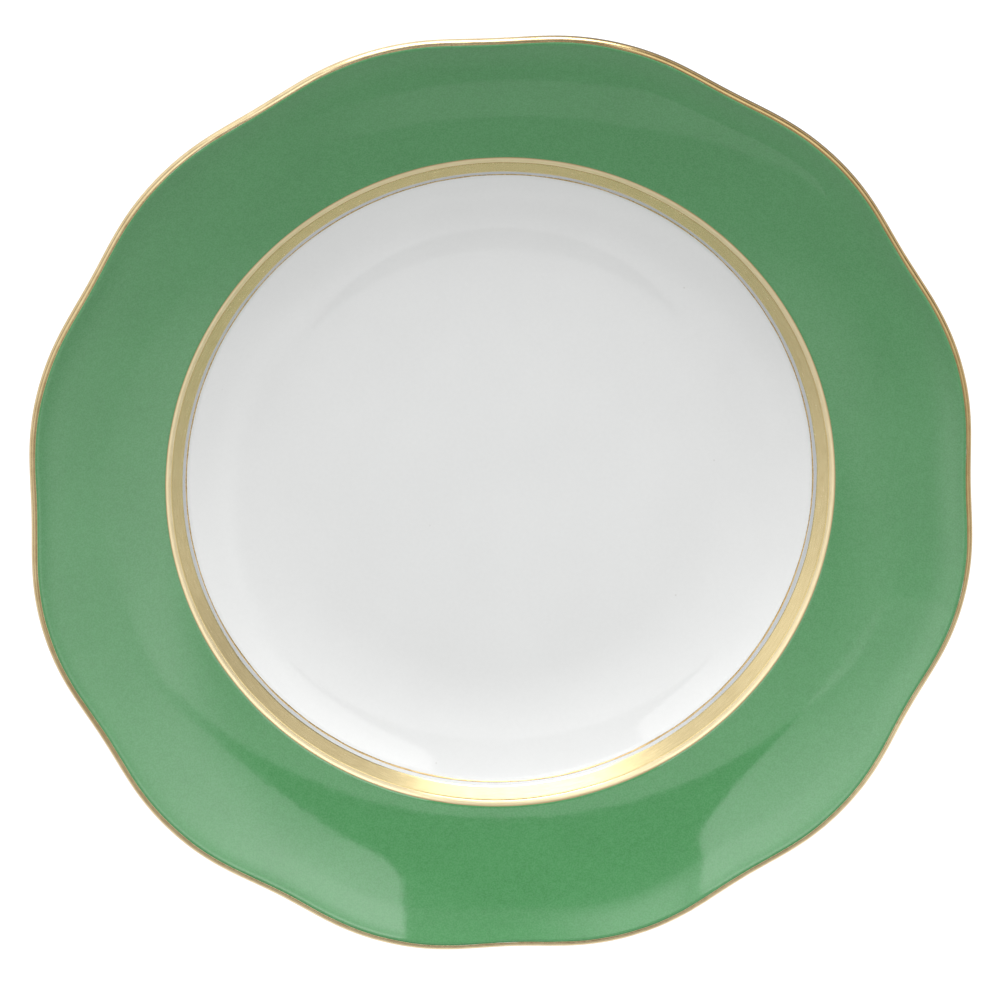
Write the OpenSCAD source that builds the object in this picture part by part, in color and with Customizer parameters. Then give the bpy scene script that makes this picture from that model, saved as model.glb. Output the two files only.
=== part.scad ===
// China dinner plate with a twelve-lobed rim.
// The plate is one potted piece of porcelain; its separate solids are the
// fired layers: biscuit body, glaze, green enamel ground and gold lines.
// Origin: centre of the foot ring, on the surface the plate stands on. +Z up.
// Units: millimetres.

/* [Outline] */
// Mean radius of the green ground's outer edge
rim_r = 131.6; // [131:0.1:132]
// Number of lobes round the rim
lobes = 12; // [8:1:16]
// Rise of a lobe above the mean outline
lobe_h = 1.08; // [0.4:0.02:1.2]
// How much the valleys between lobes are sharpened
lobe_s = 0.11; // [0:0.01:0.12]

/* [Well and rim] */
// Height of the well floor above the table
floor_z = 5.4; // [5:0.1:6]
// Radius of the flat well floor
well_r = 58; // [57:0.25:58.25]
// Radius of the cove that lifts the well towards the verge
cove_r = 66; // [64:0.5:66.5]
// Slope of the verge wall, degrees
wall_a = 39; // [37:1:42]
// Radius at which the verge turns over into the rim
verge_r = 94.3; // [93.7:0.1:94.4]
// Slope of the rim next to the verge, degrees
rim_a = 17; // [15:1:19]
// Curvature radius of the rim
rim_curve = 230; // [210:5:260]
// Radius at which the outer edge starts to turn up
flare_r = 122; // [120:0.5:123]
// Curvature radius of the turned-up edge
flare_curve = 45; // [43:1:65]

/* [Porcelain] */
// Wall thickness at the rounded lip, glaze included
lip_t = 3.1; // [2.8:0.1:3.3]
// Wall thickness at the verge, glaze included
verge_t = 3.8; // [3.6:0.1:4]
// Depth of the recess under the plate
recess = 1.8; // [1.4:0.1:2.2]
// Inner radius of the foot ring's tip
foot_in = 74.8; // [74:0.1:75.4]
// Outer radius of the foot ring's tip
foot_out = 77.4; // [76.8:0.1:78]
// Height at which the glaze stops on the foot ring
bare_h = 1.0; // [0.8:0.1:1.2]

/* [Layers] */
// Thickness of the glaze
glaze_t = 0.25; // [0.2:0.05:0.3]
// Thickness of the green enamel ground
green_t = 0.15; // [0.1:0.05:0.2]
// Thickness of the gold
gold_t = 0.12; // [0.1:0.02:0.16]

/* [Gold lines] */
// Outer radius of the bright verge line, where the green starts
line_out = 94.5; // [94.4:0.05:94.6]
// Radius where the bright line meets the matte band
line_in = 92.8; // [92.6:0.05:93]
// Inner radius of the matte band
band_in = 89.4; // [89.2:0.05:89.6]
// Outer radius of the hairline
hair_out = 88.65; // [88.5:0.05:88.75]
// Inner radius of the hairline
hair_in = 88.2; // [88:0.05:88.3]

/* [Hidden] */
$fn = 180;

fil_r = 3;        // concave fillet between cove and verge wall
roll_r = 2.5;       // convex roll between verge wall and rim
cove_a = 26.2;    // slope where the cove ends
out_r = 136.6;    // blank radius, trimmed back to the lobed outline
na = 144;         // facets round the outline
nl = 6;           // facets round the lip

// unit vectors: along a surface of slope a, and its upward normal
function along(a) = [cos(a), sin(a)];
function up(a) = [-sin(a), cos(a)];

// ---- chain of arcs along the upper surface ------------------------------
c_cove = [well_r, floor_z + cove_r];
p_cove = c_cove - cove_r * up(cove_a);
c_fil = p_cove + fil_r * up(cove_a);
p_fil = c_fil - fil_r * up(wall_a);
wall_l = (verge_r - p_fil.x - roll_r * (sin(wall_a) - sin(rim_a))) / cos(wall_a);
p_wall = p_fil + wall_l * along(wall_a);
c_roll = p_wall - roll_r * up(wall_a);
p_roll = c_roll + roll_r * up(rim_a);
c_rim = p_roll + rim_curve * up(rim_a);
flare_a = asin((flare_r - c_rim.x) / rim_curve);
p_flare = c_rim - rim_curve * up(flare_a);
c_flare = p_flare + flare_curve * up(flare_a);

// height of the finished upper surface at radius r
function arc_z(c, R, r) = c.y - sqrt(R * R - (r - c.x) * (r - c.x));
function top_z(r) =
    r <= well_r ? floor_z :
    r <= p_cove.x ? arc_z(c_cove, cove_r, r) :
    r <= p_fil.x ? arc_z(c_fil, fil_r, r) :
    r <= p_wall.x ? p_fil.y + (r - p_fil.x) * tan(wall_a) :
    r <= p_roll.x ? c_roll.y + sqrt(roll_r * roll_r - (r - c_roll.x) * (r - c_roll.x)) :
    r <= flare_r ? arc_z(c_rim, rim_curve, r) :
    arc_z(c_flare, flare_curve, r);

// slope of the turned-up edge at radius r
function edge_a(r) = asin((r - c_flare.x) / flare_curve);

// stations along the upper surface, from the centre outwards
in_r = [for (i = [1:9]) well_r + (p_cove.x - well_r) * i / 9];
st = concat([0, well_r], in_r, [hair_in, hair_out, band_in, 90.8, line_in,
     (line_in + p_roll.x) / 2, line_out], [98, 103, 108, 113, 118, flare_r],
     [for (i = [1:7]) flare_r + (out_r - flare_r) * i / 7]);
TOP = [for (r = st) [r, top_z(r)]];

// ---- underside, from the outer edge inwards to the foot ring -------------
function rim_t(a) = lip_t + (verge_t - lip_t) * (flare_a - a) / (flare_a - rim_a);
under_edge = [for (i = [7:-1:1]) let (r = flare_r + (out_r - flare_r) * i / 7)
    [r, top_z(r)] - lip_t * up(edge_a(r))];
under_rim = [for (i = [6:-1:0]) let (a = rim_a + (flare_a - rim_a) * i / 6)
    c_rim - (rim_curve + rim_t(a)) * up(a)];
q3 = under_rim[6];
q0 = [foot_out + 3.1, 3.1];
q1 = q0 + 6.5 * along(37);
q2 = q3 - 5 * along(rim_a);
function bez(t) = pow(1 - t, 3) * q0 + 3 * t * pow(1 - t, 2) * q1
    + 3 * t * t * (1 - t) * q2 + t * t * t * q3;
under_foot = [for (i = [6:-1:0]) bez(i / 7)];
foot_side = [[foot_out + 1.7, 1.75], [foot_out + 0.75, 0.45]];
UNDER = concat(under_edge, under_rim, under_foot, foot_side);

// recess inside the foot ring, from the tip to the centre
RECESS = [[foot_in - 0.6, 0.4], [foot_in - 1.3, 1.25], [foot_in - 2.6, recess],
          [0, recess]];

// ---- parallel curves -----------------------------------------------------
function nrm(a, b) = let (d = b - a) [-d.y, d.x] / norm(d);
function mitre(p, i) = let (n = len(p) - 1,
    n1 = i > 0 ? nrm(p[i - 1], p[i]) : nrm(p[0], p[1]),
    n2 = i < n ? nrm(p[i], p[i + 1]) : n1) (n1 + n2) / (1 + n1 * n2);
function para(p, d) = [for (i = [0:len(p) - 1]) p[i] + d * mitre(p, i)];
function rev(p) = [for (i = [len(p) - 1:-1:0]) p[i]];
function pick(p, ra, rb) = [for (i = [0:len(st) - 1]) if (st[i] >= ra - 0.001 && st[i] <= rb + 0.001) p[i]];

// a layer of thickness t on the upper surface between radii ra and rb
module layer(ra, rb, t) {
    rotate_extrude() polygon(concat(pick(TOP, ra, rb), rev(pick(para(TOP, t), ra, rb))));
}

// ---- lobed outline and rounded lip --------------------------------------
function outline(a) = rim_r - lobe_h * cos(lobes * a) - lobe_s * cos(2 * lobes * a);

module lobed_prism() {
    translate([0, 0, -5]) linear_extrude(60)
        polygon([for (i = [0:na - 1]) let (a = 360 * i / na) outline(a) * [cos(a), sin(a)]]);
}

// everything outside a lip of radius q, as one closed ring; the lip's crown
// lies on the outline, and its round meets both faces of the wall tangentially
function tang_r(r) = r - lip_t / 2 * sin(edge_a(r - lip_t / 4));
function lip_pt(r, q, k) = let (a = edge_a(r), c = [r, top_z(r)] - lip_t / 2 * up(a),
    b = 90 + a - 180 * k / nl) c + q * [cos(b), sin(b)];
function lip_sec(t, q) = let (r = tang_r(t), p = [for (k = [0:nl]) lip_pt(r, q, k)],
    d0 = (p[0] - p[1]) / norm(p[0] - p[1]),
    d1 = (p[nl] - p[nl - 1]) / norm(p[nl] - p[nl - 1]))
    concat([p[0] + 3 * d0], p, [p[nl] + 3 * d1, [146, 20], [146, 64]]);
module lip_cutter(q) {
    m = nl + 5;
    pts = [for (i = [0:na - 1]) let (a = 360 * i / na) for (p = lip_sec(outline(a), q))
        [p.x * cos(a), p.x * sin(a), p.y]];
    fcs = [for (i = [0:na - 1]) let (j = (i + 1) % na) for (k = [0:m - 1]) let (l = (k + 1) % m)
        each [[i * m + k, i * m + l, j * m + l], [i * m + k, j * m + l, j * m + k]]];
    polyhedron(points = pts, faces = fcs, convexity = 6);
}

// ---- solids ----------------------------------------------------------------
module body_blank() {
    rotate_extrude() polygon(concat(para(TOP, -glaze_t), para(UNDER, -glaze_t),
        [[foot_out, 0], [foot_in, 0]], RECESS));
}

module body_solid() {
    difference() { body_blank(); lip_cutter(lip_t / 2 - glaze_t); }
}

module porcelain_body() {
    color([0.93, 0.92, 0.89]) body_solid();
}

// glaze over the well, rim, lip and back, down to the bare foot
u_end = len(UNDER) - 1;
bare_p = let (b = UNDER[u_end], a = UNDER[u_end - 1])
    b + (a - b) * (bare_h - b.y) / (a.y - b.y);
module glaze_coat() {
    coat = [for (i = [0:u_end - 1]) UNDER[i]];
    color([0.88, 0.89, 0.90]) difference() {
        rotate_extrude() polygon(concat(TOP, coat,
            [bare_p, [bare_p.x - 1.2, bare_h], [foot_in + 0.6, 3], [0, 3]]));
        lip_cutter(lip_t / 2);
        body_solid();
    }
}

// glaze in the recess, inside the foot ring
module glaze_base() {
    base = [RECESS[0] + (RECESS[1] - RECESS[0]) * (bare_h - RECESS[0].y) / (RECESS[1].y - RECESS[0].y),
            RECESS[1], RECESS[2], [0, recess]];
    low = para(base, glaze_t);
    color([0.88, 0.89, 0.90]) rotate_extrude() polygon(concat(base, [[0, recess - glaze_t]],
        [low[2], low[1]], [[low[0].x, bare_h]]));
}

// the glazed rim as a solid ring from the verge outwards
module glazed_rim() {
    difference() {
        rotate_extrude() polygon(concat(pick(TOP, 90, out_r), under_edge, under_rim));
        lip_cutter(lip_t / 2);
    }
}

// enamel from the verge line up to the crown of the lip
module green_ground() {
    color([0.36, 0.62, 0.42]) intersection() {
        difference() {
            rotate_extrude() polygon(concat(pick(para(TOP, green_t), line_out, out_r),
                under_edge, rev(pick(para(TOP, -1.2), line_out, flare_r))));
            lip_cutter(lip_t / 2 + green_t);
            glazed_rim();
        }
        lobed_prism();
    }
}

// gold from the crown over the outside of the lip
module gold_rim_edge() {
    color([0.80, 0.66, 0.38]) difference() {
        rotate_extrude() polygon(concat(pick(para(TOP, gold_t), flare_r, out_r),
            para(under_edge, gold_t)));
        lip_cutter(lip_t / 2 + gold_t);
        glazed_rim();
        lobed_prism();
    }
}

module gold_verge_line() {
    color([0.84, 0.72, 0.46]) layer(line_in, line_out, gold_t);
}

module gold_verge_band() {
    color([0.73, 0.65, 0.42]) layer(band_in, line_in, gold_t);
}

module gold_well_line() {
    color([0.80, 0.68, 0.42]) layer(hair_in, hair_out, gold_t);
}

porcelain_body();
glaze_coat();
glaze_base();
green_ground();
gold_rim_edge();
gold_verge_line();
gold_verge_band();
gold_well_line();
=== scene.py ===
import math

import bpy
import numpy as np
from mathutils import Matrix, Vector


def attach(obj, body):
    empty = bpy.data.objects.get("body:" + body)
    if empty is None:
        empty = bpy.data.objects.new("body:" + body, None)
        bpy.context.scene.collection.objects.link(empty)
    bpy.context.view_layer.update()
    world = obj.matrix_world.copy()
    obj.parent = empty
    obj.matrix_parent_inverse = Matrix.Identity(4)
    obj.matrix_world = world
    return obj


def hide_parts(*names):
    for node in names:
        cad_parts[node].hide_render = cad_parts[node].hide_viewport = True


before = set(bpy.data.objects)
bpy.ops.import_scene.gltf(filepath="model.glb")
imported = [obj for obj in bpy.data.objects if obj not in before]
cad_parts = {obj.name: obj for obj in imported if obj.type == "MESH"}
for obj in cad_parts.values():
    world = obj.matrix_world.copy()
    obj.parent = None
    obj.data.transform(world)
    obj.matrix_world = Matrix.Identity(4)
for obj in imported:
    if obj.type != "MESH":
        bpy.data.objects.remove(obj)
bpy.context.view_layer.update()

MM = 0.001
DEG = math.pi / 180


# ---------------------------------------------------------------- camera
def rot_z(a):
    return np.array([[math.cos(a), -math.sin(a), 0], [math.sin(a), math.cos(a), 0], [0, 0, 1.0]])


# ------------------------------------------------- section of the plate (mm)
FLOOR_Z, WELL_R, COVE_R, COVE_A = 5.4, 58.0, 66.0, 26.2
WALL_A, VERGE_R, FIL_R, ROLL_R = 39.0, 94.3, 3.0, 2.5
RIM_A, RIM_CURVE, FLARE_R, FLARE_CURVE = 17.0, 230.0, 122.0, 45.0
LIP_T, VERGE_T, RECESS_Z, FOOT_IN, FOOT_OUT, BARE_H = 3.1, 3.8, 1.8, 74.8, 77.4, 1.0
GLAZE_T, GREEN_T, GOLD_T = 0.25, 0.12, 0.07
MEAN_R = 131.4           # mean radius of the crown of the lip
LEAN = math.tan(26 * DEG)


def up(a):
    return np.array([-math.sin(a * DEG), math.cos(a * DEG)])


def along(a):
    return np.array([math.cos(a * DEG), math.sin(a * DEG)])


C_COVE = np.array([WELL_R, FLOOR_Z + COVE_R])
P_COVE = C_COVE - COVE_R * up(COVE_A)
C_FIL = P_COVE + FIL_R * up(COVE_A)
P_FIL = C_FIL - FIL_R * up(WALL_A)
WALL_L = (VERGE_R - P_FIL[0] - ROLL_R * (math.sin(WALL_A * DEG) - math.sin(RIM_A * DEG))) / math.cos(WALL_A * DEG)
P_WALL = P_FIL + WALL_L * along(WALL_A)
C_ROLL = P_WALL - ROLL_R * up(WALL_A)
P_ROLL = C_ROLL + ROLL_R * up(RIM_A)
C_RIM = P_ROLL + RIM_CURVE * up(RIM_A)
FLARE_A = math.degrees(math.asin((FLARE_R - C_RIM[0]) / RIM_CURVE))
P_FLARE = C_RIM - RIM_CURVE * up(FLARE_A)
C_FLARE = P_FLARE + FLARE_CURVE * up(FLARE_A)


def slope(r):
    """Slope of the upper surface in degrees at radius r."""
    if r <= WELL_R:
        return 0.0
    if r <= P_COVE[0]:
        return math.degrees(math.asin((r - C_COVE[0]) / COVE_R))
    if r <= P_FIL[0]:
        return math.degrees(math.asin((r - C_FIL[0]) / FIL_R))
    if r <= P_WALL[0]:
        return WALL_A
    if r <= P_ROLL[0]:
        return math.degrees(math.asin((C_ROLL[0] - r) / ROLL_R))
    if r <= FLARE_R:
        return math.degrees(math.asin((r - C_RIM[0]) / RIM_CURVE))
    return math.degrees(math.asin((r - C_FLARE[0]) / FLARE_CURVE))


def top_z(r):
    """Height of the glazed upper surface at radius r."""
    if r <= WELL_R:
        return FLOOR_Z
    if r <= P_COVE[0]:
        return C_COVE[1] - math.sqrt(COVE_R ** 2 - (r - C_COVE[0]) ** 2)
    if r <= P_FIL[0]:
        return C_FIL[1] - math.sqrt(FIL_R ** 2 - (r - C_FIL[0]) ** 2)
    if r <= P_WALL[0]:
        return P_FIL[1] + (r - P_FIL[0]) * math.tan(WALL_A * DEG)
    if r <= P_ROLL[0]:
        return C_ROLL[1] + math.sqrt(ROLL_R ** 2 - (r - C_ROLL[0]) ** 2)
    if r <= FLARE_R:
        return C_RIM[1] - math.sqrt(RIM_CURVE ** 2 - (r - C_RIM[0]) ** 2)
    return C_FLARE[1] - math.sqrt(FLARE_CURVE ** 2 - (r - C_FLARE[0]) ** 2)


def spread(a, b, n):
    return list(np.linspace(a, b, n, endpoint=False))


# lip: a round whose crown lies on the outline, tangent to both faces of the wall
LIP_A = slope(MEAN_R - LIP_T / 4)
R_TAN = MEAN_R - LIP_T / 2 * math.sin(LIP_A * DEG)
LIP_A = slope(R_TAN)
C_LIP = np.array([R_TAN, top_z(R_TAN)]) - LIP_T / 2 * up(LIP_A)
CROWN_Z = C_LIP[1] + LIP_T / 2


def upper(r):
    """Point and outward normal of the upper surface at radius r."""
    return np.array([r, top_z(r)]), up(slope(r))


def lip(b):
    """Point and normal on the round of the lip; b is the normal's angle in degrees."""
    n = np.array([math.cos(b * DEG), math.sin(b * DEG)])
    return C_LIP + LIP_T / 2 * n, n


def wall_t(a):
    return LIP_T + (VERGE_T - LIP_T) * (FLARE_A - a) / (FLARE_A - RIM_A)


def under_line():
    """Glazed underside from the end of the lip's round down to the foot ring."""
    pts = []
    for r in spread(R_TAN, FLARE_R, 8)[1:]:
        pts.append(upper(r)[0] - LIP_T * up(slope(r)))
    for a in spread(FLARE_A, RIM_A, 12) + [RIM_A]:
        pts.append(C_RIM - (RIM_CURVE + wall_t(a)) * up(a))
    q3 = pts[-1]
    q0 = np.array([FOOT_OUT + 3.1, 3.1])
    q1, q2 = q0 + 6.5 * along(37), q3 - 5 * along(RIM_A)
    for t in np.linspace(1, 0, 15)[1:]:
        pts.append((1 - t) ** 3 * q0 + 3 * t * (1 - t) ** 2 * q1 + 3 * t * t * (1 - t) * q2 + t ** 3 * q3)
    # concave turn from the wall into the foot ring's outer face
    f1 = np.array([FOOT_OUT + 1.55, 1.75])
    for t in (0.25, 0.5, 0.75):
        mid = np.array([FOOT_OUT + 2.15, 2.35])
        pts.append((1 - t) ** 2 * q0 + 2 * t * (1 - t) * mid + t * t * f1)
    pts.append(f1)
    pts.append(np.array([FOOT_OUT + 1.22, 1.35]))
    pts.append(np.array([FOOT_OUT + 0.98, BARE_H]))
    return np.array(pts)


def with_normals(pts):
    """Normals to the left of the direction of travel for a chain that runs clockwise."""
    d = np.gradient(pts, axis=0)
    n = np.stack([-d[:, 1], d[:, 0]], 1)
    return n / np.linalg.norm(n, axis=1)[:, None]


def chain_top(radii):
    got = [upper(r) for r in radii]
    return np.array([g[0] for g in got]), np.array([g[1] for g in got])


def chain_lip(b0, b1, n):
    got = [lip(b) for b in np.linspace(b0, b1, n)]
    return np.array([g[0] for g in got]), np.array([g[1] for g in got])


TOP_R = (spread(3, WELL_R, 14) + spread(WELL_R, P_COVE[0], 24) + spread(P_COVE[0], P_FIL[0], 6)
         + spread(P_FIL[0], P_WALL[0], 6) + spread(P_WALL[0], P_ROLL[0], 10)
         + spread(P_ROLL[0], FLARE_R, 16) + spread(FLARE_R, R_TAN, 7) + [R_TAN])
top_p, top_n = chain_top(TOP_R)
lip_p, lip_n = chain_lip(90 + LIP_A, LIP_A - 90, 25)
und_p = under_line()
und_n = with_normals(und_p)
SKIN_P = np.concatenate([top_p, lip_p[1:], und_p])
SKIN_N = np.concatenate([top_n, lip_n[1:], und_n])

# ------------------------------------------------------- outline and warps
# Each plate is trimmed and fettled by hand, so the outline strays a little
# from twelve equal lobes, and the painted rings sit a little off centre.
STRAY = {2: (.147, .067), 3: (-.071, .085), 4: (.042, .015), 5: (-.062, -.076), 6: (-.008, -.052)}
K15 = 15 * DEG
_off_out = rot_z(K15)[:2, :2] @ np.array([-.311, .165])
_off_in = rot_z(K15)[:2, :2] @ np.array([.072, -.064])
RING_SHIFT = _off_in - _off_out


def outline_dev(a):
    """Deviation of the lip's crown from its mean radius at angle a (array, radians)."""
    t = a - K15
    d = -1.105 * np.cos(12 * a) - 0.110 * np.cos(24 * a)
    for k, (c, s) in STRAY.items():
        d = d + c * np.cos(k * t) + s * np.sin(k * t)
    return d


def smooth(x, a, b):
    u = np.clip((x - a) / (b - a), 0, 1)
    return u * u * (3 - 2 * u)


def waver(a, amp, k0, k1, seed):
    """A smooth periodic wander of about amp, from harmonics k0 to k1."""
    out = np.zeros_like(a)
    for k in range(k0, k1 + 1):
        ph = (k * 2.399963 + seed * 1.7320508 + k * k * 0.618034) % (2 * math.pi)
        out = out + np.cos(k * a + ph) / math.sqrt(k)
    return out * amp / math.sqrt(sum(0.5 / k for k in range(k0, k1 + 1)))


def place(sec, ang, under=None):
    """Base section points (m, 2) or (n, m, 2) at angles ang (n) -> positions (n, m, 3) in mm.
    The turned-up edge follows the lobes, and the rings are shifted with the well."""
    n = len(ang)
    p = np.broadcast_to(sec, (n,) + sec.shape) if sec.ndim == 2 else sec
    r, z = p[..., 0], p[..., 1]
    dev = outline_dev(ang)[:, None]
    g = smooth(r, 108, 127)
    rr = r + dev * g
    zz = z + dev * g * LEAN
    x, y = rr * np.cos(ang)[:, None], rr * np.sin(ang)[:, None]
    h = 1 - smooth(r, 100, 124)
    if under is not None:
        h = h * (1 - under)
    return np.stack([x + RING_SHIFT[0] * h, y + RING_SHIFT[1] * h, zz], -1)


# ------------------------------------------------------------- mesh making
def make(name, pos, closed, pole_first=None, pole_last=None):
    """A mesh swept round the axis. pos is (n, m, 3) in mm, one section per angle.
    closed joins the last point of a section to its first; poles close it on the axis."""
    n, m = pos.shape[:2]
    verts = pos.reshape(-1, 3) * MM
    i = np.arange(n)[:, None]
    j = np.arange(m if closed else m - 1)[None, :]
    i2, j2 = (i + 1) % n, (j + 1) % m
    quads = np.stack([i * m + j, i * m + j2, i2 * m + j2, i2 * m + j], -1).reshape(-1, 4)
    loops = quads.reshape(-1)
    starts = np.arange(len(quads)) * 4
    totals = np.full(len(quads), 4)
    extra_v, tri = [], []
    for pole, col, flip in ((pole_first, 0, False), (pole_last, m - 1, True)):
        if pole is not None:
            idx = len(verts) + len(extra_v)
            extra_v.append(np.array(pole) * MM)
            a, b = np.arange(n) * m + col, ((np.arange(n) + 1) % n) * m + col
            c = np.full(n, idx)
            tri.append(np.stack([c, b, a] if flip else [c, a, b], -1))
    if extra_v:
        verts = np.concatenate([verts, np.array(extra_v)])
        tri = np.concatenate(tri)
        starts = np.concatenate([starts, len(loops) + np.arange(len(tri)) * 3])
        totals = np.concatenate([totals, np.full(len(tri), 3)])
        loops = np.concatenate([loops, tri.reshape(-1)])
    me = bpy.data.meshes.new(name)
    me.vertices.add(len(verts))
    me.vertices.foreach_set("co", verts.astype(np.float32).reshape(-1))
    me.loops.add(len(loops))
    me.loops.foreach_set("vertex_index", loops.astype(np.int32))
    me.polygons.add(len(starts))
    me.polygons.foreach_set("loop_start", starts.astype(np.int32))
    me.polygons.foreach_set("loop_total", totals.astype(np.int32))
    me.update(calc_edges=True)
    me.validate()
    me.polygons.foreach_set("use_smooth", np.ones(len(me.polygons), bool))
    me.set_sharp_from_angle(angle=50 * DEG)
    ob = bpy.data.objects.new(name, me)
    bpy.context.scene.collection.objects.link(ob)
    return ob


def angles(n):
    return np.arange(n) * 2 * math.pi / n


def band(name, ang, s_in, s_out, curve, n_across, thick, edge_in, edge_out, sink=0.03):
    """A fired layer between two edges of the upper surface that may wander with the angle.
    curve(s) gives point and normal at station s; thick is the height above the glaze."""
    n = len(ang)
    s_in = np.broadcast_to(s_in, (n,))
    s_out = np.broadcast_to(s_out, (n,))
    u = 0.5 - 0.5 * np.cos(np.linspace(0, math.pi, n_across))
    u = 0.35 * u + 0.65 * np.linspace(0, 1, n_across)
    s_all = s_in[:, None] + (s_out - s_in)[:, None] * u[None, :]
    grid = np.linspace(min(s_in) - 0.01, max(s_out) + 0.01, 600)
    pts = [curve(s) for s in grid]
    P = np.array([p[0] for p in pts])
    N = np.array([p[1] for p in pts])

    def at(s, A):
        return np.stack([np.interp(s, grid, A[:, k]) for k in (0, 1)], -1)

    base, nrm = at(s_all, P), at(s_all, N)
    d_in = (s_all - s_in[:, None]) / max(edge_in, 1e-6)
    d_out = (s_out[:, None] - s_all) / max(edge_out, 1e-6)
    prof = np.sqrt(np.clip(1 - (1 - np.clip(d_in, 0, 1)) ** 2, 0, 1)) * np.sqrt(np.clip(1 - (1 - np.clip(d_out, 0, 1)) ** 2, 0, 1))
    t = thick * prof
    if not np.isscalar(thick):
        t = thick(s_all, ang[:, None]) * prof
    outer = base + nrm * (t - 0.004)[..., None]
    inner = (base - nrm * sink)[:, ::-1]
    return outer, inner


# stations along upper surface and lip as one running length, for layers that cross the tangent
S_CROWN = R_TAN + LIP_T / 2 * LIP_A * DEG         # running length of the lip's crown


def run(s):
    """Point and normal at running length s; below R_TAN s is the radius itself."""
    if s <= R_TAN:
        return upper(s)
    return lip(90 + LIP_A - (s - R_TAN) / (LIP_T / 2) / DEG)


# ------------------------------------------------------------------ pieces
N_BIG = 336
ang = angles(N_BIG)
under_w = np.concatenate([np.zeros(len(top_p)), np.linspace(0, 1, len(lip_p) - 1), np.ones(len(und_p))])

# glaze over the whole face, the lip and the back, a thin skin that thins out at the foot
taper = np.ones(len(SKIN_P)) * GLAZE_T
taper[-6:] = np.linspace(GLAZE_T, 0.07, 6)
inner_p = SKIN_P - SKIN_N * taper[:, None]
outer_pos = place(SKIN_P, ang, under_w)
inner_pos = place(inner_p, ang, under_w)
glaze = make("glaze_skin", np.concatenate([outer_pos, inner_pos[:, ::-1]], 1), False,
             (RING_SHIFT[0], RING_SHIFT[1], FLOOR_Z), (RING_SHIFT[0], RING_SHIFT[1], FLOOR_Z - GLAZE_T))

# biscuit body: inside of that skin, the bare foot ring and the recess
foot = np.array([[FOOT_OUT + 0.62, 0.62], [FOOT_OUT + 0.36, 0.28], [FOOT_OUT + 0.08, 0.07], [FOOT_OUT - 0.25, 0.0],
                 [FOOT_OUT - 0.9, 0.0], [FOOT_IN + 0.85, 0.0], [FOOT_IN + 0.2, 0.0], [FOOT_IN - 0.12, 0.07],
                 [FOOT_IN - 0.38, 0.25], [FOOT_IN - 0.62, 0.5], [FOOT_IN - 0.95, 0.86], [FOOT_IN - 1.35, 1.25],
                 [FOOT_IN - 1.9, 1.6], [FOOT_IN - 2.7, 1.8], [FOOT_IN - 6, RECESS_Z], [50, RECESS_Z], [25, RECESS_Z], [3, RECESS_Z]])
body_sec = np.concatenate([inner_p, foot])
body_under = np.concatenate([under_w, np.ones(len(foot))])
body = make("biscuit_body", place(body_sec, angles(360), body_under), False,
            (RING_SHIFT[0], RING_SHIFT[1], FLOOR_Z - GLAZE_T), (0, 0, RECESS_Z))

# glaze in the recess under the plate
rec = np.array([[FOOT_IN - 1.0, 0.98], [FOOT_IN - 1.35, 1.25], [FOOT_IN - 1.9, 1.6], [FOOT_IN - 2.7, 1.8],
                [FOOT_IN - 6, RECESS_Z], [50, RECESS_Z], [25, RECESS_Z], [3, RECESS_Z]])
rec_n = with_normals(rec)
rt = np.array([0.03, 0.14, 0.21, 0.25, 0.25, 0.25, 0.25, 0.25])
low = rec + rec_n * rt[:, None]
base_sec = np.concatenate([(rec - rec_n * 0.03)[::-1], low])
base = make("base_glaze", place(base_sec, angles(360), np.ones(len(base_sec))), False,
            (0, 0, RECESS_Z + 0.03), (0, 0, RECESS_Z - GLAZE_T))

N_RING = 1080
ra = angles(N_RING)
e_green_in = 94.32 + waver(ra, 0.035, 3, 60, 1)
e_line_out = 94.5 + waver(ra, 0.03, 3, 70, 2)
e_line_in = 92.8 + waver(ra, 0.045, 2, 40, 3)
e_band_in = 89.4 + waver(ra, 0.045, 2, 40, 4)
e_hair_out = 88.64 + waver(ra, 0.035, 2, 60, 5)
e_hair_in = 88.22 + waver(ra, 0.035, 2, 60, 6)

# green enamel from the verge line to the crown of the lip
N_GREEN = 720
ga = angles(N_GREEN)
g_in = 94.32 + waver(ga, 0.035, 3, 60, 1)
g_out = S_CROWN + 0.06 + 0 * ga
n_acr = 74
outer, inner = band("green", ga, g_in, g_out, run, n_acr, GREEN_T, 0.45, 0.30)
keep = np.unique(np.concatenate([np.arange(0, n_acr, 6), [n_acr - 1]]))
sec = np.concatenate([outer, inner[:, keep]], 1)
green = make("green_enamel_ground", place(sec, ga), True)

# gold over the outside of the lip, its inner edge painted by hand along the crown
s_end = R_TAN + LIP_T / 2 * math.pi + 0.25


def run_all(s):
    lim = R_TAN + LIP_T / 2 * math.pi
    if s <= lim:
        return run(s)
    p, n = lip(LIP_A - 90)
    return p + (s - lim) * np.array([n[1], -n[0]]), n


l_in = S_CROWN - 0.02 + waver(ra, 0.05, 3, 90, 7)
l_out = s_end + waver(ra, 0.10, 3, 60, 8)
outer, inner = band("lipgold", ra, l_in, l_out, run_all, 30, GOLD_T, 0.30, 0.30)
lip_gold = make("gold_lip_line", place(np.concatenate([outer, inner[:, ::3]], 1), ra, 1.0), True)

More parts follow.
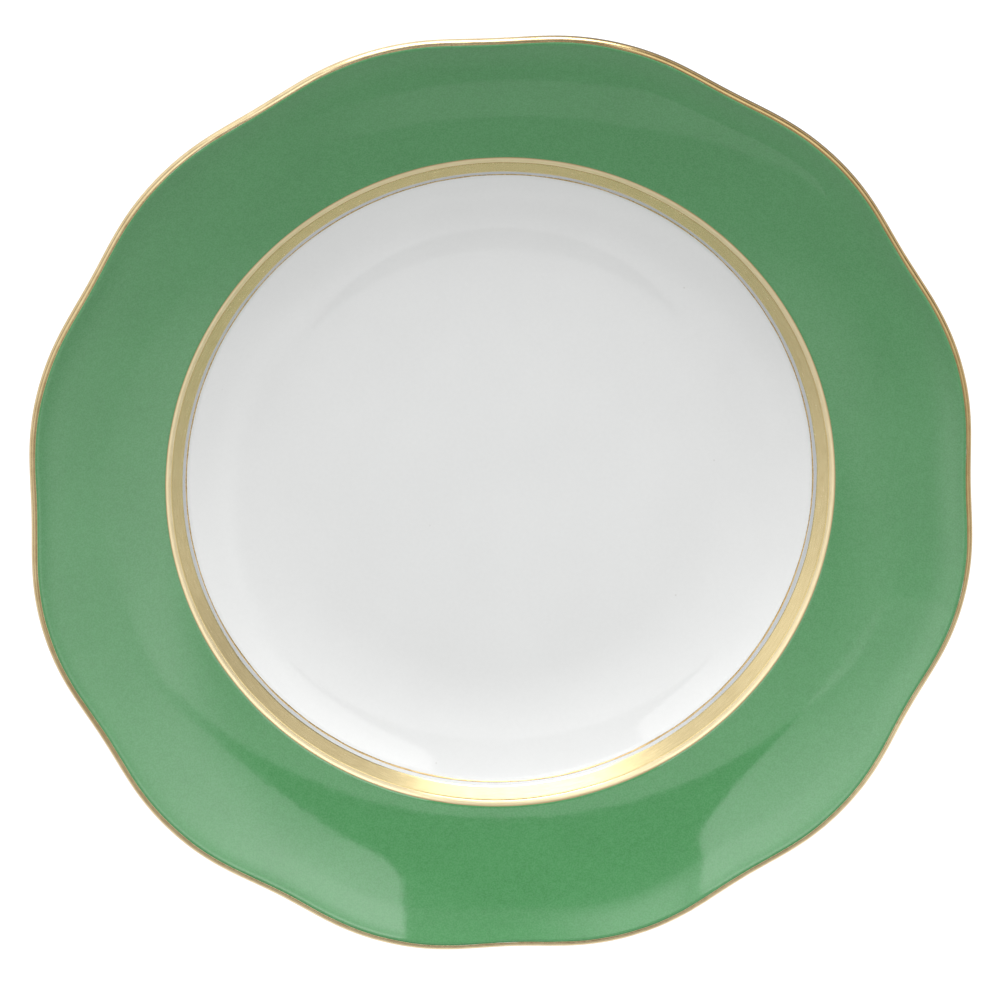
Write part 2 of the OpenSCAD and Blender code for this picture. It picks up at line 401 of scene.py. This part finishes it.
outer, inner = band("line", ra, e_line_in, e_line_out, upper, 16, 0.075, 0.22, 0.20)
verge_line = make("gold_bright_line", place(np.concatenate([outer, inner], 1), ra), True)
outer, inner = band("matte", ra, e_band_in, e_line_in + 0.10, upper, 16, 0.05, 0.22, 0.10)
verge_band = make("gold_satin_band", place(np.concatenate([outer, inner], 1), ra), True)
outer, inner = band("hair", ra, e_hair_in, e_hair_out, upper, 9, 0.045, 0.16, 0.16)
hair = make("gold_hairline", place(np.concatenate([outer, inner], 1), ra), True)


# --------------------------------------------------------------- materials
class Nodes:
    """Short-hand for building a node tree."""

    def __init__(self, name):
        self.mat = bpy.data.materials.new(name)
        self.mat.use_nodes = True
        self.t = self.mat.node_tree
        self.t.nodes.clear()
        self.out = self.t.nodes.new("ShaderNodeOutputMaterial")
        self.bsdf = self.t.nodes.new("ShaderNodeBsdfPrincipled")
        self.t.links.new(self.bsdf.outputs[0], self.out.inputs["Surface"])
        self.co = self.t.nodes.new("ShaderNodeTexCoord").outputs["Object"]

    def link(self, a, b):
        self.t.links.new(a, b)

    def math(self, op, a, b=None, c=None, clamp=False):
        n = self.t.nodes.new("ShaderNodeMath")
        n.operation = op
        n.use_clamp = clamp
        for k, v in enumerate((a, b, c)):
            if v is None:
                continue
            if isinstance(v, (int, float)):
                n.inputs[k].default_value = v
            else:
                self.link(v, n.inputs[k])
        return n.outputs[0]

    def noise(self, vec, scale, detail=2.0, rough=0.5, distort=0.0):
        n = self.t.nodes.new("ShaderNodeTexNoise")
        self.link(vec, n.inputs["Vector"])
        n.inputs["Scale"].default_value = scale
        n.inputs["Detail"].default_value = detail
        n.inputs["Roughness"].default_value = rough
        n.inputs["Distortion"].default_value = distort
        return n.outputs["Fac"] if "Fac" in n.outputs else n.outputs[0]

    def voronoi(self, vec, scale, rand=1.0):
        n = self.t.nodes.new("ShaderNodeTexVoronoi")
        self.link(vec, n.inputs["Vector"])
        n.inputs["Scale"].default_value = scale
        n.inputs["Randomness"].default_value = rand
        return n.outputs["Distance"], n.outputs["Color"]

    def ramp(self, fac, stops):
        n = self.t.nodes.new("ShaderNodeValToRGB")
        self.link(fac, n.inputs[0])
        cr = n.color_ramp
        while len(cr.elements) < len(stops):
            cr.elements.new(0.5)
        for e, (p, c) in zip(cr.elements, stops):
            e.position = p
            e.color = tuple(c) + (1,) if len(c) == 3 else c
        return n.outputs[0]

    def span(self, v, a, b, lo, hi):
        n = self.t.nodes.new("ShaderNodeMapRange")
        self.link(v, n.inputs["Value"])
        n.inputs["From Min"].default_value = a
        n.inputs["From Max"].default_value = b
        n.inputs["To Min"].default_value = lo
        n.inputs["To Max"].default_value = hi
        n.clamp = True
        return n.outputs[0]

    def mix(self, fac, a, b, mode="MIX"):
        n = self.t.nodes.new("ShaderNodeMix")
        n.data_type = "RGBA"
        n.blend_type = mode
        for sock, v in ((n.inputs[0], fac), (n.inputs[6], a), (n.inputs[7], b)):
            if isinstance(v, (int, float)):
                sock.default_value = v
            elif isinstance(v, tuple):
                sock.default_value = v + (1,)
            else:
                self.link(v, sock)
        return n.outputs[2]

    def bump(self, height, strength, distance, normal=None):
        n = self.t.nodes.new("ShaderNodeBump")
        n.inputs["Strength"].default_value = strength
        n.inputs["Distance"].default_value = distance
        self.link(height, n.inputs["Height"])
        if normal is not None:
            self.link(normal, n.inputs["Normal"])
        return n.outputs[0]

    def polar(self, turns, per_m, centre=(0.0, 0.0)):
        """Coordinates that are stretched along the rings: (x/r, y/r) * turns and r * per_m."""
        s = self.t.nodes.new("ShaderNodeSeparateXYZ")
        self.link(self.co, s.inputs[0])
        x, y, z = s.outputs
        x = self.math("SUBTRACT", x, float(centre[0]) * MM)
        y = self.math("SUBTRACT", y, float(centre[1]) * MM)
        r = self.math("SQRT", self.math("ADD", self.math("MULTIPLY", x, x), self.math("MULTIPLY", y, y)))
        c = self.t.nodes.new("ShaderNodeCombineXYZ")
        self.link(self.math("MULTIPLY", self.math("DIVIDE", x, r), turns), c.inputs[0])
        self.link(self.math("MULTIPLY", self.math("DIVIDE", y, r), turns), c.inputs[1])
        self.link(self.math("MULTIPLY", r, per_m), c.inputs[2])
        return c.outputs[0], r, z


def set_(b, **kw):
    names = {"rough": "Roughness", "metal": "Metallic", "ior": "IOR", "color": "Base Color"}
    for k, v in kw.items():
        s = b.inputs[names.get(k, k)]
        if isinstance(v, bpy.types.NodeSocket):
            b.id_data.links.new(v, s)
        else:
            s.default_value = v


# white glaze over porcelain: faint clouding, sparse pin specks, a very fine orange peel
def white_glaze(name, tint, gap_shade=False):
    m = Nodes(name)
    cloud = m.noise(m.co, 38, 3, 0.55)
    fine = m.noise(m.co, 900, 2, 0.5)
    base = m.ramp(m.math("ADD", m.math("MULTIPLY", cloud, 0.6), m.math("MULTIPLY", fine, 0.4)),
                  [(0.30, tuple(c * 0.975 for c in tint)), (0.70, tuple(min(1.0, c * 1.012) for c in tint))])
    dist, cell = m.voronoi(m.co, 260)
    sep = m.t.nodes.new("ShaderNodeSeparateColor")
    m.link(cell, sep.inputs[0])
    rare = m.math("GREATER_THAN", sep.outputs[0], 0.965)
    speck = m.math("MULTIPLY", m.span(dist, 0.03, 0.09, 1.0, 0.0), rare)
    col = m.mix(m.math("MULTIPLY", speck, 0.35), base, (0.42, 0.40, 0.37))
    if gap_shade:
        # painted shade and dark reflection: the glaze between the hairline and the satin band is greyed where the gold
        # rings shade it, on the upper face only
        _, r, z = m.polar(1, 1, RING_SHIFT)
        gap_shade_mask = m.math("MULTIPLY", m.span(r, 88.45 * MM, 88.75 * MM, 0.0, 1.0), m.span(r, 89.40 * MM, 89.60 * MM, 1.0, 0.0))
        gap_shade_mask = m.math("MULTIPLY", gap_shade_mask, m.span(z, 10.5 * MM, 11.5 * MM, 0.0, 0.75))
        where = m.t.nodes.new("ShaderNodeSeparateXYZ")
        m.link(m.co, where.inputs[0])
        # painted shade: the greying fades to about an eighth towards -Y, the side where the strong low light falls
        gap_shade_mask = m.math("MULTIPLY", gap_shade_mask, m.span(where.outputs[1], -86 * MM, -66 * MM, 0.12, 1.0))
        col = m.mix(gap_shade_mask, col, (0.42, 0.44, 0.465))
    peel = m.noise(m.co, 420, 2, 0.5)
    set_(m.bsdf, color=col, rough=m.span(m.noise(m.co, 120, 3, 0.6), 0.3, 0.7, 0.03, 0.055), ior=1.58)
    m.link(m.bump(peel, 0.03, 0.0001), m.bsdf.inputs["Normal"])
    return m.mat


WHITE = (0.765, 0.771, 0.769)
mat_glaze = white_glaze("white_glaze_face", WHITE, True)
mat_base = white_glaze("white_glaze_base", tuple(c * 0.985 for c in WHITE))

# bare foot: matte, faintly gritty, a little grey where it has worn on tables
m = Nodes("bisque_foot")
grit = m.noise(m.co, 1800, 3, 0.6)
patch = m.noise(m.co, 60, 4, 0.6)
col = m.ramp(m.math("ADD", m.math("MULTIPLY", grit, 0.5), m.math("MULTIPLY", patch, 0.5)),
             [(0.30, (0.50, 0.465, 0.40)), (0.52, (0.70, 0.675, 0.62)), (0.75, (0.77, 0.75, 0.70))])
set_(m.bsdf, color=col, rough=m.span(grit, 0.3, 0.7, 0.62, 0.85), ior=1.45)
m.link(m.bump(grit, 0.5, 0.0001), m.bsdf.inputs["Normal"])
mat_bisque = m.mat

# green enamel: fine mottling of the ground, a few pin specks, glossy skin with a slight ripple
GREEN = (0.0645, 0.260, 0.0865)
m = Nodes("green_enamel")
n1 = m.noise(m.co, 520, 3, 0.6)
n2 = m.noise(m.co, 1500, 2, 0.5)
n3 = m.noise(m.co, 45, 3, 0.5)
mot = m.math("ADD", m.math("ADD", m.math("MULTIPLY", n1, 0.45), m.math("MULTIPLY", n2, 0.25)), m.math("MULTIPLY", n3, 0.30))
col = m.ramp(mot, [(0.30, tuple(c * f for c, f in zip(GREEN, (0.86, 0.90, 0.87)))),
                   (0.50, GREEN),
                   (0.70, tuple(c * f for c, f in zip(GREEN, (1.16, 1.09, 1.15))))])
dist, cell = m.voronoi(m.co, 300)
sep = m.t.nodes.new("ShaderNodeSeparateColor")
m.link(cell, sep.inputs[0])
rare = m.math("GREATER_THAN", sep.outputs[0], 0.97)
speck = m.math("MULTIPLY", m.span(dist, 0.03, 0.10, 1.0, 0.0), rare)
col = m.mix(m.math("MULTIPLY", speck, 0.4), col, (0.035, 0.16, 0.055))
grain = m.noise(m.co, 2300, 1, 0.5)
col = m.mix(m.span(grain, 0.40, 0.60, 0.0, 1.0), m.mix(1.0, col, (0.88, 0.945, 0.885), "MULTIPLY"), m.mix(0.07, col, (0.22, 0.42, 0.26)))
ripple = m.noise(m.co, 160, 2, 0.5)
set_(m.bsdf, color=col, rough=m.span(n1, 0.3, 0.7, 0.035, 0.065), ior=1.8)
b1 = m.bump(ripple, 0.05, 0.0002)
m.link(m.bump(n1, 0.04, 0.00003, b1), m.bsdf.inputs["Normal"])
mat_green = m.mat


def gold(name, lo, mid, hi, r0, r1, streak, bump_s, turns=22, per_m=4200, centre=(0.0, 0.0), dark=None, rim=False,
         metal=1.0):
    """Fired gold with brush streaks that run along the ring, thinner and browner in places.
    dark (from_mm, full_mm, amount, colour) browns one edge of the line; rim paints shade and reflection onto the lip's
    gold by position and normal."""
    m = Nodes(name)
    vec, r, z = m.polar(turns, per_m, centre)
    s = m.noise(vec, 1.0, 3, 0.5)
    spots = m.noise(m.co, 260, 3, 0.6)
    fine_gold_noise = m.noise(m.co, 1400, 2, 0.5)
    f = m.math("ADD", m.math("MULTIPLY", s, streak), m.math("MULTIPLY", spots, 1 - streak))
    col = m.ramp(f, [(0.28, lo), (0.50, mid), (0.72, hi)])
    if dark:
        at = m.math("ADD", r, m.math("MULTIPLY", m.math("SUBTRACT", spots, 0.5), 0.00012))
        col = m.mix(m.span(at, dark[0] * MM, dark[1] * MM, 0.0, dark[2]), col, dark[3])
    if rim:
        # painted shade and reflection on the lip's gold, standing in for the dark surroundings it reflects: darker on
        # its east and west sides, browner on its outer side as the normal turns from up, and near-black on the outer
        # side towards 60 degrees; also browner where the normal points straight up, along the painted margin on the
        # crown
        geo = m.t.nodes.new("ShaderNodeNewGeometry")
        up_z = m.t.nodes.new("ShaderNodeSeparateXYZ")
        m.link(geo.outputs["Normal"], up_z.inputs[0])
        nz = m.math("ADD", up_z.outputs[2], m.math("MULTIPLY", m.math("SUBTRACT", fine_gold_noise, 0.5), 0.10))
        where = m.t.nodes.new("ShaderNodeSeparateXYZ")
        m.link(geo.outputs["Position"], where.inputs[0])
        x1, y1 = (m.math("DIVIDE", where.outputs[k], 0.132) for k in (0, 1))
        # painted shade: the lip's gold is darkened on its east side, towards 33 degrees, and on its west side
        east = m.math("ADD", m.math("MULTIPLY", x1, math.cos(33 * DEG)), m.math("MULTIPLY", y1, math.sin(33 * DEG)))
        side_shade = m.math("MAXIMUM", m.span(east, 0.45, 0.80, 0.0, 1.0), m.span(x1, -0.60, -0.90, 0.0, 0.55))
        col = m.mix(side_shade, col, m.mix(1.0, col, (0.58, 0.515, 0.40), "MULTIPLY"))
        # painted shade: the outer side of the lip browns as its normal turns away from up
        col = m.mix(m.span(nz, 0.50, 0.05, 0.0, 0.30), col, (0.40, 0.29, 0.14))
        # painted dark reflection: the outer side of the lip towards 60 degrees is made nearly black
        far = m.math("ADD", m.math("MULTIPLY", x1, math.cos(60 * DEG)), m.math("MULTIPLY", y1, math.sin(60 * DEG)))
        far = m.math("MULTIPLY", m.span(far, 0.88, 0.97, 0.0, 0.9), m.span(nz, 0.60, 0.35, 0.0, 1.0))
        col = m.mix(far, col, (0.10, 0.065, 0.03))
        col = m.mix(m.span(nz, 0.965, 1.0, 0.0, 0.60), col, (0.42, 0.28, 0.11))
    rr = m.span(m.math("ADD", m.math("MULTIPLY", s, 0.6), m.math("MULTIPLY", fine_gold_noise, 0.4)), 0.3, 0.7, r0, r1)
    set_(m.bsdf, color=col, rough=rr, metal=metal)
    m.link(m.bump(s, bump_s, 0.00002), m.bsdf.inputs["Normal"])
    return m.mat


mat_satin = gold("satin_gold", (0.70, 0.565, 0.30), (0.76, 0.62, 0.34), (0.80, 0.665, 0.38), 0.22, 0.28, 0.7, 0.04,
                 centre=RING_SHIFT, dark=(92.25, 92.75, 0.45, (0.46, 0.35, 0.13)))
mat_bright = gold("bright_gold", (0.76, 0.62, 0.36), (0.84, 0.70, 0.43), (0.90, 0.77, 0.51), 0.16, 0.22, 0.7, 0.04,
                  centre=RING_SHIFT, dark=(94.0, 94.42, 0.85, (0.36, 0.22, 0.07)), metal=0.5)
mat_hair = gold("hairline_gold", (0.46, 0.31, 0.14), (0.60, 0.43, 0.21), (0.72, 0.54, 0.29), 0.22, 0.34, 0.5, 0.06,
                centre=RING_SHIFT)
# the lip's gold carries painted shade and reflection through rim
mat_lip = gold("lip_gold", (0.62, 0.48, 0.27), (0.76, 0.61, 0.36), (0.84, 0.69, 0.43), 0.15, 0.24, 0.4, 0.05,
               turns=30, per_m=500, rim=True)

for ob, mat, node, slot in (
        (body, mat_bisque, "porcelain_body", "bisque"),
        (glaze, mat_glaze, "glaze_coat", "white_glaze"),
        (base, mat_base, "glaze_base", "white_glaze"),
        (green, mat_green, "green_ground", "green_enamel"),
        (lip_gold, mat_lip, "gold_rim_edge", "rim_gold"),
        (verge_line, mat_bright, "gold_verge_line", "bright_gold"),
        (verge_band, mat_satin, "gold_verge_band", "matte_gold"),
        (hair, mat_hair, "gold_well_line", "bright_gold")):
    ob.data.materials.append(mat)
    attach(ob, "root")
    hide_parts(node)

# ------------------------------------------------------------------- floor
n = 96
fa = angles(n)
fv = [(0, 0, 0)] + [(16 * math.cos(a), 16 * math.sin(a), 0) for a in fa]
ff = [(0, 1 + i, 1 + (i + 1) % n) for i in range(n)]
fm = bpy.data.meshes.new("floor")
fm.from_pydata([tuple(float(c) for c in v) for v in fv], [], ff)
floor = bpy.data.objects.new("floor", fm)
bpy.context.scene.collection.objects.link(floor)
m = Nodes("pale_floor")
set_(m.bsdf, rough=0.9)
m.bsdf.inputs["Specular IOR Level"].default_value = 0.0
m.bsdf.inputs["Base Color"].default_value = (0.42, 0.42, 0.42, 1)
m.bsdf.inputs["Emission Color"].default_value = (1, 1, 1, 1)
m.bsdf.inputs["Emission Strength"].default_value = 0.74
fm.materials.append(m.mat)

# ------------------------------------------------------------ camera, lights
TURN = rot_z(-1.18 * DEG)       # from the shooting table's axes to the plate's
phi, psi, dist, f_px = 15.147 * DEG, 102.37 * DEG, 3490.0, 3.5691
c = np.array([math.sin(phi) * math.cos(psi), math.sin(phi) * math.sin(psi), math.cos(phi)])
right = np.cross([0, 1, 0], c)
right /= np.linalg.norm(right)
upv = np.cross(c, right)
pos = TURN @ (np.array([-1.074, -0.489, 0]) + dist * c) + np.array([0, 0, CROWN_Z])
pos[:2] -= _off_out
R = np.stack([TURN @ right, TURN @ upv, TURN @ c], 1)
cam_data = bpy.data.cameras.new("camera")
cam_data.sensor_width = 36
cam_data.lens = f_px * dist * 36 / 1000
cam_data.clip_start, cam_data.clip_end = 0.1, 60
cam = bpy.data.objects.new("camera", cam_data)
bpy.context.scene.collection.objects.link(cam)
M = Matrix([list(R[k]) + [pos[k] * MM] for k in range(3)] + [[0, 0, 0, 1]])
cam.matrix_world = M
bpy.context.scene.camera = cam


def panel(name, centre, normal, roll, w, h, energy, shape="RECTANGLE", ramps=(), rounded=False):
    """An area light at centre (mm, shooting axes) that shines along -normal.

    Each ramp (axis, from0, from1, to0, to1) fades it across its width (0) or height (1);
    rounded takes off the corners and softens the border a little.
    """
    li = bpy.data.lights.new(name, "AREA")
    li.shape = shape
    li.size, li.size_y = w * MM, h * MM
    li.energy = energy
    ob = bpy.data.objects.new(name, li)
    bpy.context.scene.collection.objects.link(ob)
    nn = np.array(normal, float)
    nn /= np.linalg.norm(nn)
    u = np.array([-nn[1], nn[0], 0.0])
    if np.linalg.norm(u) < 1e-6:
        u = np.array([1.0, 0, 0])
    u /= np.linalg.norm(u)
    v = np.cross(nn, u)
    cr, sr = math.cos(roll), math.sin(roll)
    u2, v2 = cr * u + sr * v, -sr * u + cr * v
    A = TURN @ np.stack([u2, v2, nn], 1)       # light looks down its -Z
    p = TURN @ np.array(centre, float)
    ob.matrix_world = Matrix([list(A[k]) + [p[k] * MM] for k in range(3)] + [[0, 0, 0, 1]])
    ob.visible_camera = False
    if ramps:
        li.use_nodes = True
        t = li.node_tree
        t.nodes.clear()
        geo = t.nodes.new("ShaderNodeNewGeometry")
        xyz = t.nodes.new("ShaderNodeSeparateXYZ")
        t.links.new(geo.outputs["Parametric"], xyz.inputs[0])
        emit = t.nodes.new("ShaderNodeEmission")
        val = None
        for axis, f0, f1, g0, g1 in ramps:
            r = t.nodes.new("ShaderNodeMapRange")
            r.interpolation_type = "SMOOTHSTEP"
            t.links.new(xyz.outputs[axis], r.inputs["Value"])
            for key, x in (("From Min", f0), ("From Max", f1), ("To Min", g0), ("To Max", g1)):
                r.inputs[key].default_value = x
            if val is None:
                val = r.outputs[0]
            else:
                q = t.nodes.new("ShaderNodeMath")
                q.operation = "MULTIPLY"
                t.links.new(val, q.inputs[0])
                t.links.new(r.outputs[0], q.inputs[1])
                val = q.outputs[0]

        def lmath(op, a, b):
            q = t.nodes.new("ShaderNodeMath")
            q.operation = op
            for k, x in enumerate((a, b)):
                if isinstance(x, (int, float)):
                    q.inputs[k].default_value = x
                else:
                    t.links.new(x, q.inputs[k])
            return q.outputs[0]

        if rounded:
            sides = []
            for k in (0, 1):
                d = lmath("MULTIPLY", lmath("SUBTRACT", xyz.outputs[k], 0.5), 2.0)
                for _k in range(2):
                    d = lmath("MULTIPLY", d, d)
                sides.append(lmath("MULTIPLY", d, d))
            r = t.nodes.new("ShaderNodeMapRange")
            r.interpolation_type = "SMOOTHSTEP"
            t.links.new(lmath("ADD", sides[0], sides[1]), r.inputs["Value"])
            for key, x in (("From Min", 0.72), ("From Max", 1.0), ("To Min", 1.0), ("To Max", 0.0)):
                r.inputs[key].default_value = x
            val = lmath("MULTIPLY", val, r.outputs[0])
        t.links.new(val, emit.inputs["Strength"])
        out = t.nodes.new("ShaderNodeOutputLight")
        t.links.new(emit.outputs[0], out.inputs[0])
    return ob


def sph(L, az, el):
    az, el = az * DEG, el * DEG
    return np.array([L * math.cos(el) * math.cos(az), L * math.cos(el) * math.sin(az), L * math.sin(el)])


def facing(yaw, pitch):
    yaw, pitch = yaw * DEG, pitch * DEG
    return np.array([math.cos(pitch) * math.cos(yaw), math.cos(pitch) * math.sin(yaw), math.sin(pitch)])


# radiance of an area light is about energy / (4 * area); energies below are radiance * 4 * area
LEVEL = 0.365                  # exposure: all lights and the surround are scaled by this


def watt(rad, w, h, ell=False):
    a = w * h * 1e-6 * (math.pi / 4 if ell else 1)
    return LEVEL * rad * 4 * a


# Two softboxes on the far side, a big overhead diffuser, and a bright strip low behind the plate.
KEY_R = panel("softbox_right", sph(1100, 29.4, 48.5), facing(44.4, 5.6), 10.9 * DEG, 1003, 1014, watt(3.8, 1003, 1014),
              ramps=((0, 0.05, 1.0, 0.05, 1.0), (1, 0.5, 1.0, 1.0, 0.75), (1, 0.06, 0.36, 0.0, 1.0)), rounded=True)
KEY_L = panel("softbox_left", sph(1100, 158.1, 50.2), facing(142.7, 8.7), -5.7 * DEG, 829, 995, watt(2.9, 829, 995),
              ramps=((0, 0.0, 0.9, 1.0, 0.15), (1, 0.06, 0.36, 0.0, 1.0)), rounded=True)
panel("overhead", (40, -480, 1200), (0, 0.0001, 1), 0.0, 1960, 1600, watt(1.9, 1960, 1600, True), "ELLIPSE",
      ramps=((1, 0.0, 0.4, 0.78, 0.33), (1, 0.60, 0.90, 1.0, 0.0), (0, 0.0, 0.15, 0.3, 1.0), (0, 0.82, 1.0, 1.0, 0.1)))
panel("strip_back", sph(1500, 90, 15), facing(90, 15), 0, 1100, 690, watt(15.5, 1100, 690),
      ramps=((1, 0.5, 1.0, 1.0, 0.6),))
panel("strip_front", sph(1500, 266, 36.4), facing(266, 36.4), 3.5 * DEG, 1200, 150, watt(0.45, 1200, 150),
      ramps=((0, 0.75, 1.0, 1.0, 0.2),))

# the end of the overhead's boom, which shows as a dim lens in the glaze of the well
n = 40
chord, rad = 221.0, 233.0
mid = np.array([80.0, -822.0 + rad])
t0 = math.pi - math.asin(chord / rad)
pts = [mid + rad * np.array([math.sin(t), -math.cos(t)]) for t in np.linspace(-t0, t0, n)]
flag_v = [tuple(float(q) * MM for q in (TURN @ np.array([p[0], p[1], 1188.0]))) for p in pts]
fme = bpy.data.meshes.new("boom_end")
fme.from_pydata(flag_v, [], [tuple(range(n))])
flag = bpy.data.objects.new("boom_end", fme)
bpy.context.scene.collection.objects.link(flag)
m = Nodes("boom_grey")
set_(m.bsdf, rough=0.8)
m.bsdf.inputs["Base Color"].default_value = (0.03, 0.03, 0.03, 1)
fme.materials.append(m.mat)
flag.visible_camera = False
flag.visible_diffuse = False

W_A0, W_C1, W_S1, W_C2, W_S2, W_C3, W_S3 = 2.06, 0.47, 0.21, 0.63, -0.09, 0.20, 0.12
world = bpy.data.worlds.new("studio")
bpy.context.scene.world = world
world.use_nodes = True
wt = world.node_tree
wt.nodes.clear()


def wmath(op, a, b=None, clamp=False):
    n = wt.nodes.new("ShaderNodeMath")
    n.operation = op
    n.use_clamp = clamp
    for k, v in enumerate((a, b)):
        if v is None:
            continue
        if isinstance(v, (int, float)):
            n.inputs[k].default_value = v
        else:
            wt.links.new(v, n.inputs[k])
    return n.outputs[0]


def wspan(v, a, b, lo, hi):
    n = wt.nodes.new("ShaderNodeMapRange")
    n.interpolation_type = "SMOOTHSTEP"
    wt.links.new(v, n.inputs["Value"])
    for key, val in (("From Min", a), ("From Max", b), ("To Min", lo), ("To Max", hi)):
        n.inputs[key].default_value = val
    return n.outputs[0]


wc = wt.nodes.new("ShaderNodeTexCoord")
ws = wt.nodes.new("ShaderNodeSeparateXYZ")
wt.links.new(wc.outputs["Generated"], ws.inputs[0])
X, Y, Z = ws.outputs
hor = wmath("SQRT", wmath("MAXIMUM", wmath("SUBTRACT", 1.0, wmath("MULTIPLY", Z, Z)), 1e-4))
cx, cy = wmath("DIVIDE", X, hor), wmath("DIVIDE", Y, hor)
# walls of the tent: bright to the sides, dimmer in front, by harmonics of the azimuth
c2 = wmath("SUBTRACT", wmath("MULTIPLY", cx, cx), wmath("MULTIPLY", cy, cy))
s2 = wmath("MULTIPLY", wmath("MULTIPLY", cx, cy), 2.0)
c3 = wmath("SUBTRACT", wmath("MULTIPLY", c2, cx), wmath("MULTIPLY", s2, cy))
s3 = wmath("ADD", wmath("MULTIPLY", s2, cx), wmath("MULTIPLY", c2, cy))
tent = W_A0
for sock, amp in ((cx, W_C1), (cy, W_S1), (c2, W_C2), (s2, W_S2), (c3, W_C3), (s3, W_S3)):
    tent = wmath("ADD", wmath("MULTIPLY", sock, amp), tent)
tent = wmath("MAXIMUM", tent, 0.05)
# the roof of the tent, where neither the softboxes nor the overhead reach, is dim
roof = wspan(Z, math.sin(52 * DEG), math.sin(61 * DEG), 0.0, 1.0)
level = wmath("ADD", wmath("MULTIPLY", tent, wmath("SUBTRACT", 1.0, roof)), wmath("MULTIPLY", roof, 0.85))
low = wspan(Z, math.sin(10 * DEG), math.sin(30 * DEG), 1.0, 0.0)
level = wmath("ADD", wmath("MULTIPLY", level, wmath("SUBTRACT", 1.0, low)), wmath("MULTIPLY", low, 1.65))
band_lo = wspan(Z, 0.0, math.sin(22 * DEG), 1.0, 0.0)
back = wspan(cy, 0.35, 0.98, 0.0, 1.0)
level = wmath("ADD", level, wmath("MULTIPLY", wmath("MULTIPLY", band_lo, back), 2.5))
# the tent's left wall is brighter low down
left = wmath("MULTIPLY", wspan(cx, -0.75, -0.99, 0.0, 1.0), wspan(Z, math.sin(30 * DEG), math.sin(56 * DEG), 1.0, 0.0))
left = wmath("MULTIPLY", left, wmath("SUBTRACT", 1.0, low))
level = wmath("ADD", level, wmath("MULTIPLY", left, 1.4))
# and a soft glow stands beside the inner edge of the left softbox
glow = wmath("MULTIPLY", wspan(cx, 0.12, -0.24, 0.0, 1.0), wspan(cx, -0.60, -0.40, 0.0, 1.0))
glow = wmath("MULTIPLY", glow, wmath("MULTIPLY", wspan(cy, 0.0, 0.4, 0.0, 1.0), wspan(Z, math.sin(44 * DEG), math.sin(60 * DEG), 1.0, 0.0)))
level = wmath("ADD", level, wmath("MULTIPLY", glow, 2.2))
# the far right corner of the studio is dark near the table
dim = wmath("ADD", wmath("MULTIPLY", cx, math.cos(42 * DEG)), wmath("MULTIPLY", cy, math.sin(42 * DEG)))
dim = wmath("MULTIPLY", wspan(dim, 0.72, 0.93, 0.0, 0.7), wspan(Z, math.sin(14 * DEG), math.sin(28 * DEG), 1.0, 0.0))
level = wmath("MULTIPLY", level, wmath("SUBTRACT", 1.0, dim))
path = wt.nodes.new("ShaderNodeLightPath")
bg = wt.nodes.new("ShaderNodeBackground")
bg.inputs["Color"].default_value = (1, 1, 1, 1)
wt.links.new(wmath("MULTIPLY", level, LEVEL), bg.inputs["Strength"])
bg_cam = wt.nodes.new("ShaderNodeBackground")
bg_cam.inputs["Color"].default_value = (0.94, 0.945, 0.95, 1)
wmix = wt.nodes.new("ShaderNodeMixShader")
wt.links.new(path.outputs["Is Camera Ray"], wmix.inputs[0])
wt.links.new(bg.outputs[0], wmix.inputs[1])
wt.links.new(bg_cam.outputs[0], wmix.inputs[2])
wout = wt.nodes.new("ShaderNodeOutputWorld")
wt.links.new(wmix.outputs[0], wout.inputs[0])

scene = bpy.context.scene
scene.view_settings.view_transform = "Standard"
scene.view_settings.look = "None"
